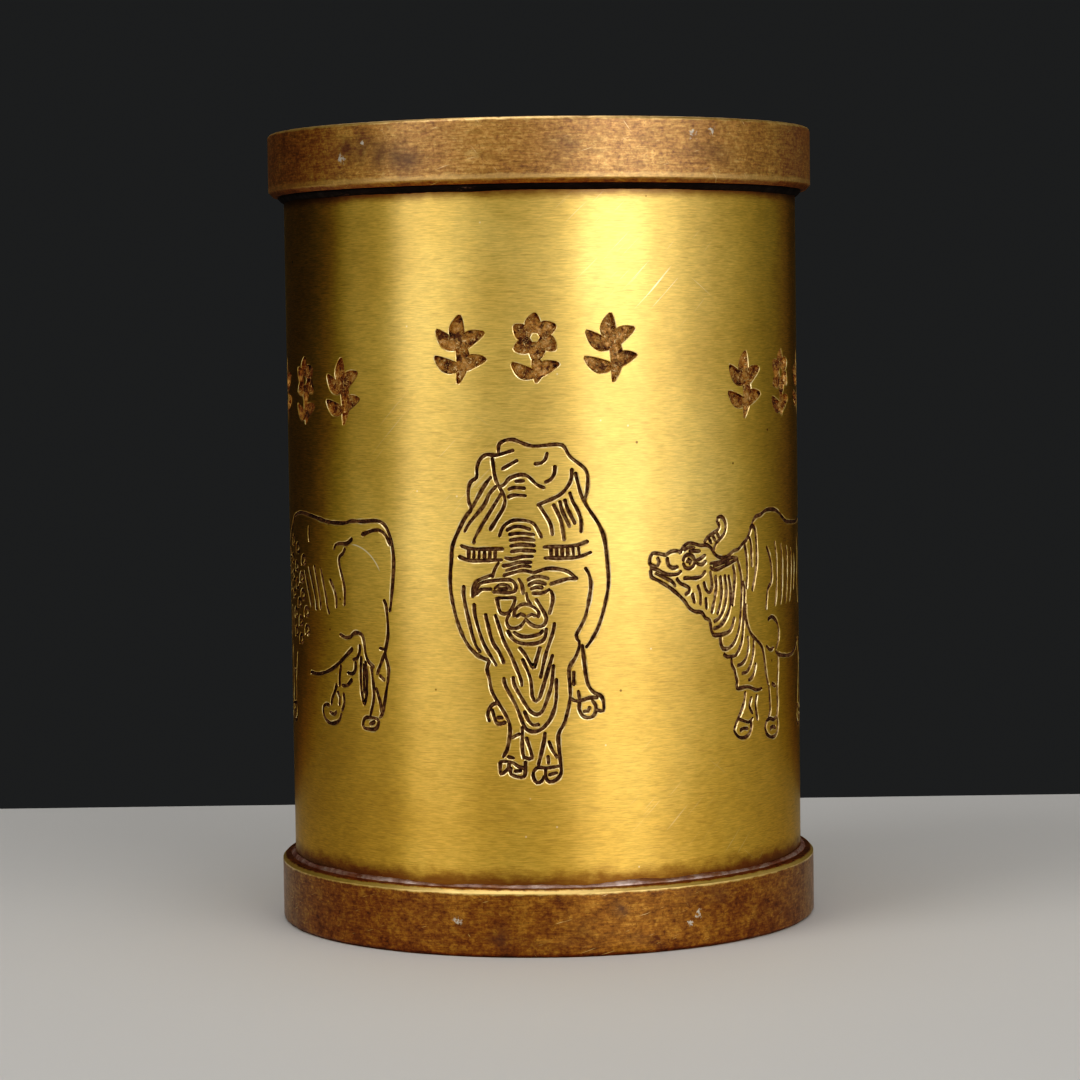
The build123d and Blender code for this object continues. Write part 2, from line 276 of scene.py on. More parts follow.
# a curl of the grazing ox's mane, and where the curls are
CURL = [(-0.8, -0.55), (-0.75, 0.25), (-0.05, 0.65), (0.7, 0.3), (0.7, -0.35), (0.1, -0.5)]
CURLS = [(-41.3, 50), (-42.2, 47.6), (-41.8, 45.3), (-40.4, 43.1), (-40.2, 40.7),
         (-43.9, 51.5), (-44.7, 49), (-44.4, 46.6), (-43.4, 44.1), (-43, 41.7), (-42.8, 39.3),
         (-46.5, 52.4), (-47.2, 49.9), (-46.9, 47.6), (-46.5, 45.2), (-45.7, 42.6), (-45.4, 40.1),
         (-49.6, 50.5), (-49.4, 48.1), (-49.2, 45.8), (-51.9, 48.9)]
GRAZING_OX = [
    # back and rump
    [(-45.2, 55.9), (-42, 56.4), (-37.8, 56.1), (-33.3, 55.5), (-29.6, 55.5), (-28.2, 55.8), (-26, 55.8),
     (-22.9, 55.85), (-21.4, 54.3), (-20.75, 50.9), (-21.25, 45.6), (-21.5, 44.3)],
    [(-26.1, 54.1), (-24, 54.7), (-22.8, 54.65), (-21.9, 54), (-21.3, 52.9)],
    [(-32, 52), (-31.7, 52.5), (-30.7, 52.75), (-29.2, 52.8), (-28.1, 53.45)],
    [(-29.6, 52.1), (-30.1, 51.4), (-30.8, 51), (-30.9, 50), (-30, 47.6), (-29.8, 46.2), (-29.9, 44.7)],
    # ribs
    [(-33.1, 47.8), (-32.3, 46.8), (-31.75, 45.6), (-31.7, 44.3)],
    [(-35.5, 49.1), (-34.35, 45.9), (-34, 44.4), (-33.5, 43.4)],
    [(-37.4, 49.4), (-36.1, 45.8), (-35.7, 43.9)], [(-39.2, 49.2), (-37.4, 45.6), (-36.9, 43.7)],
    [(-40.8, 48.6), (-38.5, 44)], [(-39, 54.6), (-39.1, 53.6), (-39, 52.8)],
    # tail, near hind leg and hoof
    [(-22.4, 45.6), (-22.05, 44.6), (-21.85, 41.3), (-22.4, 38.7), (-22, 37.4), (-21.9, 35.8), (-22.9, 31.2),
     (-23.4, 30.3)],
    [(-23.2, 39.3), (-22.4, 39.2)], [(-22.5, 38.6), (-23.8, 36)], [(-23.3, 35.7), (-22.6, 35.2)],
    [(-24, 34), (-23.3, 32), (-23.2, 31)],
    [(-30.9, 40.7), (-29.8, 40.4), (-28.7, 40.55), (-27.9, 41.1), (-26.4, 40.8), (-25.8, 38.3), (-25.2, 37.3),
     (-24.4, 36.8)],
    [(-24.8, 36.7), (-24.45, 33.1), (-25.2, 30.2)],
    [(-26.7, 38), (-26.85, 35.8), (-26.7, 33.4), (-26.25, 31.8), (-25.8, 33.2), (-25.7, 35.4), (-25.9, 37.4)],
    [(-26.25, 37), (-26.2, 33.4)],
    [(-25.9, 30.1), (-23.9, 30), (-23.8, 29.3), (-24.4, 28.65), (-26.35, 28.7), (-26.5, 29.5), (-25.9, 30.1)],
    [(-25.2, 29.3), (-24.4, 29.6)],
    # belly and far hind leg
    [(-28.4, 39), (-31.2, 37), (-33.6, 35.8), (-36.5, 35.1), (-39, 35.1)],
    [(-26.9, 39.5), (-27, 38.6), (-27.5, 37.8), (-28.2, 37.6)],
    [(-27.8, 37.2), (-27.9, 36.2), (-28.5, 35.7), (-29.4, 35.75)],
    [(-30.9, 36.6), (-31.2, 35.4), (-31.3, 34)], [(-30.6, 34), (-29.6, 34.1), (-28.6, 34.9)],
    [(-32, 34), (-32.4, 33.1), (-33.1, 32.1), (-33.3, 31.3)], [(-31.7, 33), (-31.3, 32.3), (-31.4, 31.4)],
    [(-30.4, 32.9), (-30.3, 31.7), (-30.8, 30.7)],
    [(-33.9, 31.1), (-34.7, 31.2), (-35.4, 30.8), (-35.5, 30), (-34.9, 29.2), (-33.7, 28.75), (-32.4, 28.9),
     (-31.4, 29.4), (-31, 30.2)],
    [(-33.6, 30.2), (-32.7, 30), (-32.1, 30.4)],
    # neck and mane
    [(-45.2, 55.9), (-46.4, 55.2), (-47.6, 54.2), (-52.2, 51.6), (-53.6, 50.4)],
    *[[(around + x, height + z) for x, z in CURL] for around, height in CURLS],
    # head, lowered
    [(-53.6, 50.4), (-54.6, 50.6), (-55.6, 50.2), (-56.6, 49.2), (-58.6, 46.2), (-62, 41.4), (-62.4, 40),
     (-62, 38.9), (-61, 38.5), (-60, 38.9), (-59.2, 39.8), (-57, 41.2), (-54.6, 41.8), (-53.4, 41.6)],
    [(-61.9, 40.6), (-61.2, 40.2), (-60.2, 39)], [(-61.2, 41.6), (-60.8, 41.1), (-60.3, 41.4)],
    [(-57.4, 45.4), (-56.7, 45.9), (-56, 45.5), (-55.9, 44.8), (-56.5, 44.4), (-57.2, 44.7), (-57.4, 45.4)],
    [(-56.8, 45.2), (-56.4, 45)], [(-57.7, 46.2), (-56.8, 46.7), (-55.8, 46.5)],
    [(-59.3, 43.9), (-58.3, 43.5), (-57.5, 42.8)], [(-58.6, 44.9), (-57.9, 44.3)],
    [(-55.6, 50.1), (-56.3, 51.2), (-57.4, 52), (-58.6, 52.2), (-59.6, 51.8), (-60.2, 51)],
    [(-56.8, 49), (-57.6, 50), (-58.6, 50.7), (-60.2, 51)], [(-56.5, 50.9), (-57, 50.2)],
    [(-57.3, 51.4), (-57.8, 50.7)], [(-58.2, 51.7), (-58.6, 51.1)],
    [(-53.9, 48.6), (-53, 47.6), (-52.4, 46.2), (-52.6, 45), (-53.4, 45.6), (-54, 46.8), (-54.2, 48)],
    [(-53.4, 47.2), (-53, 46.2)],
    # dewlap and chest
    [(-53.4, 41.6), (-52.4, 40.6), (-51.4, 40.8), (-50.8, 39.6), (-49.8, 39.6), (-49.2, 38.4), (-48.4, 38.2)],
    [(-52.6, 43.6), (-50.4, 41.6), (-49.4, 40.4)], [(-50.8, 43.8), (-48.8, 41.2), (-48, 39.8)],
    [(-48.8, 43.4), (-47.2, 40.6)],
    # forelegs and hooves
    [(-48.4, 38.2), (-49.2, 36.6), (-48.8, 35.2), (-48.5, 33.6), (-49, 30.4)],
    [(-45, 37.2), (-46.1, 33.4), (-46, 31.8), (-46.2, 30.4)], [(-48.1, 35), (-47.2, 34.6), (-46.5, 34.8)],
    [(-49.1, 30.2), (-49.5, 29.2), (-49, 28.2), (-47.9, 27.8), (-46.8, 28), (-46.1, 28.8), (-46.1, 29.8),
     (-46.6, 30.3), (-47.8, 30.1), (-49, 30.2)],
    [(-48.4, 29.1), (-47.6, 29.3), (-46.9, 29.1)],
    [(-53.6, 41.2), (-53.8, 37), (-53.4, 34), (-53.6, 32.4), (-53.2, 31), (-53.3, 29.8)],
    [(-51, 39.4), (-51.2, 35.1), (-51.1, 33.4), (-51.4, 31.6), (-51, 29.8)],
    [(-53.4, 29.7), (-53.7, 28.8), (-53.2, 27.9), (-52.2, 27.6), (-51.2, 27.9), (-50.7, 28.7), (-50.9, 29.7),
     (-52.1, 29.6), (-53.3, 29.7)],
    [(-52.7, 28.6), (-51.8, 28.7)],
]

# A leaf is (its foot round the tube, its foot's height, direction in degrees, length, width).
SPRIG = [
    (0.0, 0.6, 88, 3.7, 2.3),
    (0.0, 0.0, 32, 3.9, 2.1),
    (0.0, 0.2, 144, 3.8, 2.1),
    (0.0, -2.6, 20, 3.8, 2.0),
    (0.0, -2.5, 156, 3.7, 2.0),
    (0.0, 1.6, -92, 6.0, 1.9),
]
PETALS, PETAL_REACH, PETAL_HEIGHT = 6, 0.62, 1.35
BLOSSOM = [(PETAL_REACH * math.cos(a), PETAL_HEIGHT + PETAL_REACH * math.sin(a), math.degrees(a), 2.45, 2.3)
           for a in (TAU / 4 + TAU / PETALS * petal for petal in range(PETALS))]
BLOSSOM += [(0.0, -1.2, -88, 3.2, 1.7), (0.0, -3.5, 26, 3.4, 1.9), (0.0, -3.5, 152, 3.4, 1.9)]

# Where the middle of each row of three ornaments is, and the height of its middle
ORNAMENT_ROWS = [(-0.8, 78.1), (40.2, 73.0), (-39.5, 72.8), (83.6, 73.0), (131.0, 73.0)]
ORNAMENT_PITCH = 9.9

# Section across an engraved line, from one lip to the other: distance from its middle, depth
LINE_SECTION = [(0.47, 0.06), (0.24, -0.06), (0.18, -0.22), (0.07, -0.29),
                (-0.07, -0.29), (-0.18, -0.22), (-0.24, -0.06), (-0.47, 0.06)]
LIP_EDGES = (0, 6)
LINE_STEP = 0.4  # between the points along a line
LINE_END = 0.2  # how far a line's blunt end reaches past its last point
LINE_END_WIDTH = 0.45  # as a share of the line's width
LINE_WAVER = 0.07  # how much a line's width wavers, as a share of it
# The same for a leaf's edge, from its lip to its floor: distance out from the outline, depth
LEAF_SECTION = [(0.27, 0.06), (0.06, -0.06), (-0.06, -0.42), (-0.14, -0.50)]
LEAN = 0.3  # how far an engraving leans up and to the left for each millimetre of depth
WALL_SLACK = 0.005  # what lies this close to a wall of the tube is part of it
WELD = 0.0001  # corners this close are one
LONGEST_RUN = 1.0  # between the points of a ring's section
RIM_CHAMFER, FOOT_CHAMFER = 0.65, 0.5
TUBE_SEGMENTS, TUBE_LEVELS, RING_SEGMENTS, BEAD_SEGMENTS = 360, 30, 600, 900
CREASE = math.radians(32)
# The tube's materials, by index
BRASS, INSIDE, PATINA, RECESS, LIP = range(5)
# Each piece's own random unevenness
ENGRAVING_SEED, RIM_SEED, FOOT_SEED, RIM_BEAD_SEED, FOOT_BEAD_SEED = 5, 11, 12, 21, 22


def new_mesh(name, points, faces):
    """Make a mesh from points in millimetres."""
    mesh = bpy.data.meshes.new(name)
    mesh.from_pydata((np.asarray(points) * MM).tolist(), [], faces)
    return mesh


def new_object(name, data):
    """Put an object in the scene."""
    thing = bpy.data.objects.new(name, data)
    bpy.context.scene.collection.objects.link(thing)
    return thing


def add_materials(mesh, materials):
    """Give a mesh its materials, in the order of their indices."""
    for material in materials:
        mesh.materials.append(material)


@contextmanager
def editing(mesh):
    """Open a mesh for bmesh operations, and write them back to it."""
    shape = bmesh.new()
    shape.from_mesh(mesh)
    yield shape
    shape.to_mesh(mesh)
    shape.free()


def new_piece(name, mesh, slot_name, node, *materials):
    """Make a piece of the cup that stands for a CAD node, and give it materials."""
    add_materials(mesh, materials)
    piece = new_object(name, mesh)
    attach(piece, "root")
    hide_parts(node)
    return piece


def on_tube(around, out, height):
    """Points at a distance round the tube, a distance out from its surface, and a height."""
    angle = np.asarray(around) / TUBE_RADIUS
    radius = TUBE_RADIUS + np.asarray(out)
    return np.stack([radius * np.sin(angle), -radius * np.cos(angle), height + 0 * angle], -1)


def ring_faces(rows, columns, closed_rows=True):
    """Quads between neighbouring rows of points, where each row is a closed loop."""
    faces = []
    for row in range(rows if closed_rows else rows - 1):
        after = (row + 1) % rows
        for column in range(columns):
            beside = (column + 1) % columns
            faces.append((row * columns + column, row * columns + beside,
                          after * columns + beside, after * columns + column))
    return faces


def smooth_line(points, step):
    """Points along the smooth curve through the given points, about a step apart."""
    points = np.array(points, float)
    if len(points) == 2:
        before, after = 2 * points[0] - points[1], 2 * points[1] - points[0]
    elif np.allclose(points[0], points[-1]):
        before, after = points[-2], points[1]
    else:
        before, after = 2 * points[0] - points[1], 2 * points[-1] - points[-2]
    knots = np.vstack([before, points, after])
    line = []
    for a, b, c, d in zip(knots, knots[1:], knots[2:], knots[3:]):
        count = max(1, round(float(np.linalg.norm(c - b)) / step))
        t = (np.arange(count) / count)[:, None]
        line.append(0.5 * (2 * b + (c - a) * t + (2 * a - 5 * b + 4 * c - d) * t ** 2
                           + (3 * b - a - 3 * c + d) * t ** 3))
    return np.vstack(line + [points[-1:]])


def across(line, closed):
    """Unit vectors across a line, at each of its points."""
    if closed:
        along = np.roll(line, -1, 0) - np.roll(line, 1, 0)
    else:
        along = np.gradient(line, axis=0)
    along /= np.linalg.norm(along, axis=1)[:, None]
    return np.stack([-along[:, 1], along[:, 0]], -1)


def cutter_mesh(name, points, faces, materials):
    """A closed cutter whose faces point outwards, with a material index for each face."""
    mesh = new_mesh(name, points, faces)
    mesh.polygons.foreach_set("material_index", materials)
    with editing(mesh) as shape:
        if shape.calc_volume(signed=True) < 0:
            bmesh.ops.reverse_faces(shape, faces=shape.faces[:])
    return mesh


def line_cutter(points, random):
    """The cutter of one engraved line: a narrow rounded groove with worn lips and blunt ends."""
    line = smooth_line(points, LINE_STEP)
    closed = bool(np.allclose(line[0], line[-1]))
    if closed:
        line = line[:-1]
    side = across(line, closed)
    widths = 1 + LINE_WAVER * np.convolve(random.standard_normal(len(line) + 2), [0.5, 1, 0.5], "valid")
    if not closed:
        ahead = np.stack([side[[0, -1], 1], -side[[0, -1], 0]], -1) * LINE_END
        line = np.vstack([line[0] - ahead[0], line, line[-1] + ahead[1]])
        side = np.vstack([side[:1], side, side[-1:]])
        widths = np.concatenate([[LINE_END_WIDTH], widths, [LINE_END_WIDTH]])
    section = np.array(LINE_SECTION)
    offset = widths[:, None] * section[:, 0]
    out = np.where(section[:, 1] < 0, widths[:, None] * section[:, 1], section[:, 1])
    lean = LEAN * np.minimum(out, 0)
    around = line[:, :1] + offset * side[:, :1] + lean
    height = line[:, 1:] + offset * side[:, 1:] - lean
    rows, columns = around.shape
    faces = ring_faces(rows, columns, closed)
    materials = [LIP if face % columns in LIP_EDGES else PATINA for face in range(len(faces))]
    if not closed:
        faces += [tuple(reversed(range(columns))), tuple(range((rows - 1) * columns, rows * columns))]
        materials += [PATINA, PATINA]
    return cutter_mesh("line", on_tube(around, out, height).reshape(-1, 3), faces, materials)


def leaf_outline(foot_around, foot_height, direction, length, width):
    """The outline of a leaf: blunt at the foot, pointed at the tip and bowed a little."""
    t = np.linspace(0.0, 1.0, 13)
    half = width * (0.5 - 0.14 * t) * np.sin(math.pi * np.clip(0.06 + 0.92 * t, 0, 1)) ** 0.62
    bow = 0.10 * length * np.sin(math.pi * t)
    along = np.concatenate([t, t[::-1]]) * length
    aside = np.concatenate([bow + half, (bow - half)[::-1]])
    a = math.radians(direction)
    return np.stack([foot_around + along * math.cos(a) - aside * math.sin(a),
                     foot_height + along * math.sin(a) + aside * math.cos(a)], -1)


def leaf_cutter(leaf):
    """The cutter of one leaf of an ornament: flat-bottomed, with steep walls and a worn lip."""
    outline = leaf_outline(*leaf)
    outward = -across(outline, True)
    middle = outline.mean(0)
    if ((outline - middle) * outward).sum() < 0:
        outward = -outward
    rows = []
    for grow, out in LEAF_SECTION:
        edge = outline + outward * grow
        lean = LEAN * min(out, 0)
        rows.append(on_tube(edge[:, 0] + lean, out, edge[:, 1] - lean))
    columns = len(outline)
    faces = ring_faces(len(rows), columns, False)
    materials = [LIP] * columns + [RECESS] * 2 * columns
    faces += [tuple(reversed(range(columns))), tuple(range(3 * columns, 4 * columns))]
    return cutter_mesh("leaf", np.vstack(rows), faces, materials + [BRASS, RECESS])


def moved(strokes, shift=0.0, mirrored=False):
    """A drawing moved round the tube, and turned left to right first if mirrored."""
    sign = -1 if mirrored else 1
    return [[(sign * around + shift, height) for around, height in stroke] for stroke in strokes]


def drawn_lines():
    """All the engraved lines: three oxen at the front and two more behind."""
    return (FRONT_OX + RAISED_OX + GRAZING_OX
            + moved(RAISED_OX, 119.2, mirrored=True) + moved(GRAZING_OX, 172.6))


def drawn_leaves():
    """All the leaves of the ornaments over the oxen."""
    mirrored = [(-around, height, 180 - turn, length, width)
                for around, height, turn, length, width in SPRIG]
    leaves = []
    for middle, level in ORNAMENT_ROWS:
        for place, ornament in zip((-1, 0, 1), (SPRIG, BLOSSOM, mirrored)):
            leaves += [(around + middle + place * ORNAMENT_PITCH, height + level, *rest)
                       for around, height, *rest in ornament]
    return leaves


def plain_tube(segments, levels):
    """The tube before it is engraved, in small faces that the cutters can't fold over."""
    heights = np.linspace(TUBE_BOTTOM, TUBE_TOP, levels)
    corners = [(TUBE_RADIUS, z) for z in heights] + [(BORE_RADIUS, z) for z in heights[::-1]]
    angles = np.arange(segments) * TAU / segments
    points = [np.stack([r * np.sin(angles), -r * np.cos(angles), z + 0 * angles], -1) for r, z in corners]
    return new_mesh("tube", np.vstack(points), ring_faces(len(corners), segments))


def shade_tube(mesh):
    """Round the two walls with exact normals, and keep crisp edges on the engraving."""
    faces, corners = len(mesh.polygons), len(mesh.loops)
    index, sizes, vertex = np.zeros(faces, int), np.zeros(faces, int), np.zeros(corners, int)
    places, normals = np.zeros(len(mesh.vertices) * 3), np.zeros(corners * 3)
    mesh.polygons.foreach_get("material_index", index)
    mesh.polygons.foreach_get("loop_total", sizes)
    mesh.loops.foreach_get("vertex_index", vertex)
    mesh.vertices.foreach_get("co", places)
    places = places.reshape(-1, 3)[vertex] * (1, 1, 0)
    radius = np.linalg.norm(places, axis=1)
    starts = np.cumsum(sizes) - sizes
    outer = np.minimum.reduceat(radius, starts) > (TUBE_RADIUS - WALL_SLACK) * MM
    inner = np.maximum.reduceat(radius, starts) < (BORE_RADIUS + WALL_SLACK) * MM
    index[inner] = INSIDE
    mesh.polygons.foreach_set("material_index", index)
    mesh.shade_smooth()
    mesh.set_sharp_from_angle(angle=CREASE)
    mesh.corner_normals.foreach_get("vector", normals)
    away = places / radius[:, None]
    normals = np.where(np.repeat(outer, sizes)[:, None], away, normals.reshape(-1, 3))
    normals = np.where(np.repeat(inner, sizes)[:, None], -away, normals)
    mesh.normals_split_custom_set(normals.tolist())


def drop_crumbs(mesh):
    """Split the cut faces into triangles, and drop those that touch back to back or hang loose."""
    with editing(mesh) as shape:
        bmesh.ops.remove_doubles(shape, verts=shape.verts[:], dist=WELD * MM)
        bmesh.ops.triangulate(shape, faces=shape.faces[:])
        matches = {}
        for face in shape.faces:
            matches.setdefault(frozenset(face.verts), []).append(face)
        doubled = [face for match in matches.values() if len(match) > 1 for face in match]
        bmesh.ops.delete(shape, geom=doubled, context="FACES")
        shape.faces.ensure_lookup_table()
        joined, fresh = set(), {shape.faces[0]}
        while fresh:
            joined |= fresh
            edges = {edge for face in fresh for edge in face.edges if len(edge.link_faces) == 2}
            fresh = {face for edge in edges for face in edge.link_faces} - joined
        loose = [face for face in shape.faces if face not in joined]
        bmesh.ops.delete(shape, geom=loose, context="FACES")


def engraved_tube(materials):
    """The body tube with its drawings and ornaments cut into the brass."""
    random = np.random.default_rng(ENGRAVING_SEED)
    cutters = bpy.data.collections.new("cutters")
    bpy.context.scene.collection.children.link(cutters)
    meshes = [line_cutter(line, random) for line in drawn_lines()]
    meshes += [leaf_cutter(leaf) for leaf in drawn_leaves()]
    for mesh in meshes:
        add_materials(mesh, materials)
        cutters.objects.link(bpy.data.objects.new("cutter", mesh))
    mesh = plain_tube(TUBE_SEGMENTS, TUBE_LEVELS)
    add_materials(mesh, materials)
    tube = new_object("plain_tube", mesh)
    cut = tube.modifiers.new("engrave", "BOOLEAN")
    cut.operation = "DIFFERENCE"
    cut.operand_type = "COLLECTION"
    cut.collection = cutters
    cut.solver = "MANIFOLD"
    graph = bpy.context.evaluated_depsgraph_get()
    result = bpy.data.meshes.new_from_object(tube.evaluated_get(graph))
    for piece in [tube, *cutters.objects]:
        bpy.data.objects.remove(piece)
    bpy.data.collections.remove(cutters)
    drop_crumbs(result)
    shade_tube(result)
    return new_piece("engraved_tube", result, "brushed_brass", "body_tube")


def rounded(corners, steps=5):
    """A closed outline through corners of (radius, height, rounding)."""
    points = []
    for index, (x, y, rounding) in enumerate(corners):
        corner = np.array([x, y])
        arms = [np.array(corners[(index + turn) % len(corners)][:2]) - corner for turn in (-1, 1)]
        arms = [arm / np.linalg.norm(arm) for arm in arms]
        half = math.acos(float(np.clip(arms[0] @ arms[1], -1, 1))) / 2
        reach = rounding / math.tan(half)
        middle = corner + (arms[0] + arms[1]) / np.linalg.norm(arms[0] + arms[1]) * rounding / math.sin(half)
        spokes = [corner + arm * reach - middle for arm in arms]
        for t in np.linspace(0, 1, steps + 1):
            spoke = spokes[0] * (1 - t) + spokes[1] * t
            points.append(middle + spoke / np.linalg.norm(spoke) * rounding)
    outline = []
    for here, there in zip(points, points[1:] + points[:1]):
        parts = math.ceil(float(np.linalg.norm(there - here)) / LONGEST_RUN)
        outline += [here + (there - here) * part / parts for part in range(parts)]
    return np.array(outline)


def waves(angles, random, cycles, strength):
    """A smooth random unevenness round the cup, for a range of cycles per turn."""
    total = 0 * angles
    for count in cycles:
        total = total + random.standard_normal() * np.sin(count * angles + random.uniform(0, TAU))
    return strength * total / math.sqrt(len(cycles))


def dents(angles, random, count, width, depth):
    """Small dents at random places round the cup, with their width in radians."""
    total = 0 * angles
    for _ in range(count):
        away = (angles - random.uniform(0, TAU) + math.pi) % TAU - math.pi
        strength = depth * random.uniform(0.3, 1)
        total = total + strength * np.exp(-(away / (width * random.uniform(0.5, 1.5))) ** 2)
    return total


def lathe(name, outline, segments, uneven):
    """Turn a closed outline about Z. uneven(angle, radius, height) gives each point's final place."""
    angles = (np.arange(segments) * TAU / segments)[:, None]
    radius, height = uneven(angles, outline[None, :, 0], outline[None, :, 1])
    points = np.stack([radius * np.sin(angles), -radius * np.cos(angles), height + 0 * angles], -1)
    mesh = new_mesh(name, points.reshape(-1, 3), ring_faces(segments, len(outline)))
    with editing(mesh) as shape:
        bmesh.ops.recalc_face_normals(shape, faces=shape.faces[:])
    mesh.shade_smooth()
    return mesh


def keep_flats_flat(piece):
    """Shade the broad faces flat and the narrow rounded ones smooth."""
    modifier = piece.modifiers.new("weighted_normals", "WEIGHTED_NORMAL")
    modifier.mode = "FACE_AREA"
    modifier.weight = 60


def near(radius, height, at_radius, at_height, reach):
    """One at a corner of a section, falling to nought beyond the reach."""
    return np.exp(-((radius - at_radius) ** 2 + (height - at_height) ** 2) / reach ** 2)


def rim_ring(material):
    """The ring round the mouth, with rounded and slightly knocked edges."""
    random = np.random.default_rng(RIM_SEED)
    outline = rounded([
        (TUBE_RADIUS, RIM_BOTTOM, 0.08), (RIM_RADIUS - RIM_CHAMFER, RIM_BOTTOM, 0.15),
        (RIM_RADIUS, RIM_BOTTOM + RIM_CHAMFER, 0.15), (RIM_RADIUS, RIM_TOP, 0.5), (BORE_RADIUS, RIM_TOP, 0.5),
        (BORE_RADIUS, TUBE_TOP, 0.12), (TUBE_RADIUS, TUBE_TOP, 0.05)])

    def uneven(angles, radius, height):
        knocks = dents(angles, random, 30, 0.010, 0.07)
        knocks = knocks + 0.008 * (1 + waves(angles, random, range(30, 90), 0.5))
        at_top = near(radius, height, RIM_RADIUS, RIM_TOP, 0.45)
        at_bottom = near(radius, height, RIM_RADIUS, RIM_BOTTOM + RIM_CHAMFER, 0.3)
        scuffs = dents(angles, random, 30, 0.010, 0.04)
        return radius - knocks * at_top - scuffs * at_bottom, height - knocks * at_top

    mesh = lathe("rim_ring", outline, RING_SEGMENTS, uneven)
    keep_flats_flat(new_piece("rim_ring_turned", mesh, "browned_brass", "rim_ring", material))


def foot_ring(material):
    """The ring round the foot, with its ledge inside and a rounded base."""
    random = np.random.default_rng(FOOT_SEED)
    outline = rounded([
        (LEDGE_RADIUS, FOOT_BOTTOM, 0.2), (FOOT_RADIUS, FOOT_BOTTOM, 0.6),
        (FOOT_RADIUS, FOOT_TOP - FOOT_CHAMFER, 0.12), (FOOT_RADIUS - FOOT_CHAMFER, FOOT_TOP, 0.12),
        (TUBE_RADIUS, FOOT_TOP, 0.08), (TUBE_RADIUS, PLATE_BOTTOM, 0.05), (LEDGE_RADIUS, PLATE_BOTTOM, 0.2)])

    def uneven(angles, radius, height):
        scuffs = dents(angles, random, 30, 0.012, 0.05)
        at_top = near(radius, height, FOOT_RADIUS, FOOT_TOP - FOOT_CHAMFER, 0.25)
        at_base = near(radius, height, FOOT_RADIUS, FOOT_BOTTOM, 0.5)
        worn = dents(angles, random, 60, 0.02, 0.10)
        return radius - scuffs * at_top - worn * at_base, height + 0 * angles

    mesh = lathe("foot_ring", outline, RING_SEGMENTS, uneven)
    keep_flats_flat(new_piece("foot_ring_turned", mesh, "browned_brass", "foot_ring", material))


def solder_bead(name, node, bead, upward, fullness, unevenness, material, seed):
    """A bead of solder in the corner between the tube and a ring, filling a share of the corner unevenly."""
    random = np.random.default_rng(seed)
    low, high = bead
    leg = high - low
    corner, far = (low, high) if upward else (high, low)
    t = np.linspace(0, 1, 9)[1:-1]
    face = np.stack([TUBE_RADIUS + leg * (1 - t), corner + (far - corner) * t], -1)
    root = TUBE_RADIUS - 0.05
    outline = np.vstack([[(root, corner), (TUBE_RADIUS + leg, corner)], face, [(root, far)]])

    def uneven(angles, radius, height):
        swell = waves(angles, random, range(3, 24), 0.11) + waves(angles, random, range(40, 150), 0.03)
        swell = fullness + unevenness * swell
        lean = unevenness * waves(angles, random, range(2, 30), 0.10)
        out = np.clip((radius - TUBE_RADIUS) / leg, 0, 1)
        up = np.clip((height - corner) / (far - corner), 0, 1)
        bulge = 1 + 0.45 * (4 * out * up) * (0.6 + lean)
        lump = waves(angles + 2.2 * up, random, range(60, 200), 0.018)
        scale = np.clip(swell * bulge + lump, 0.25, 1.1)
        new_radius = np.where(radius > TUBE_RADIUS, TUBE_RADIUS + (radius - TUBE_RADIUS) * scale, radius)
        new_height = corner + (height - corner) * np.clip(scale + lean, 0.25, 1.1)
        return new_radius, new_height

    new_piece(name, lathe(name, outline, BEAD_SEGMENTS, uneven), "solder", node, material)


FLAT_STRETCH = 1.7  # how much finer the grain is across a flat top than up a wall
ACROSS = 0.25  # a quarter turn, so that light spreads across the brush marks


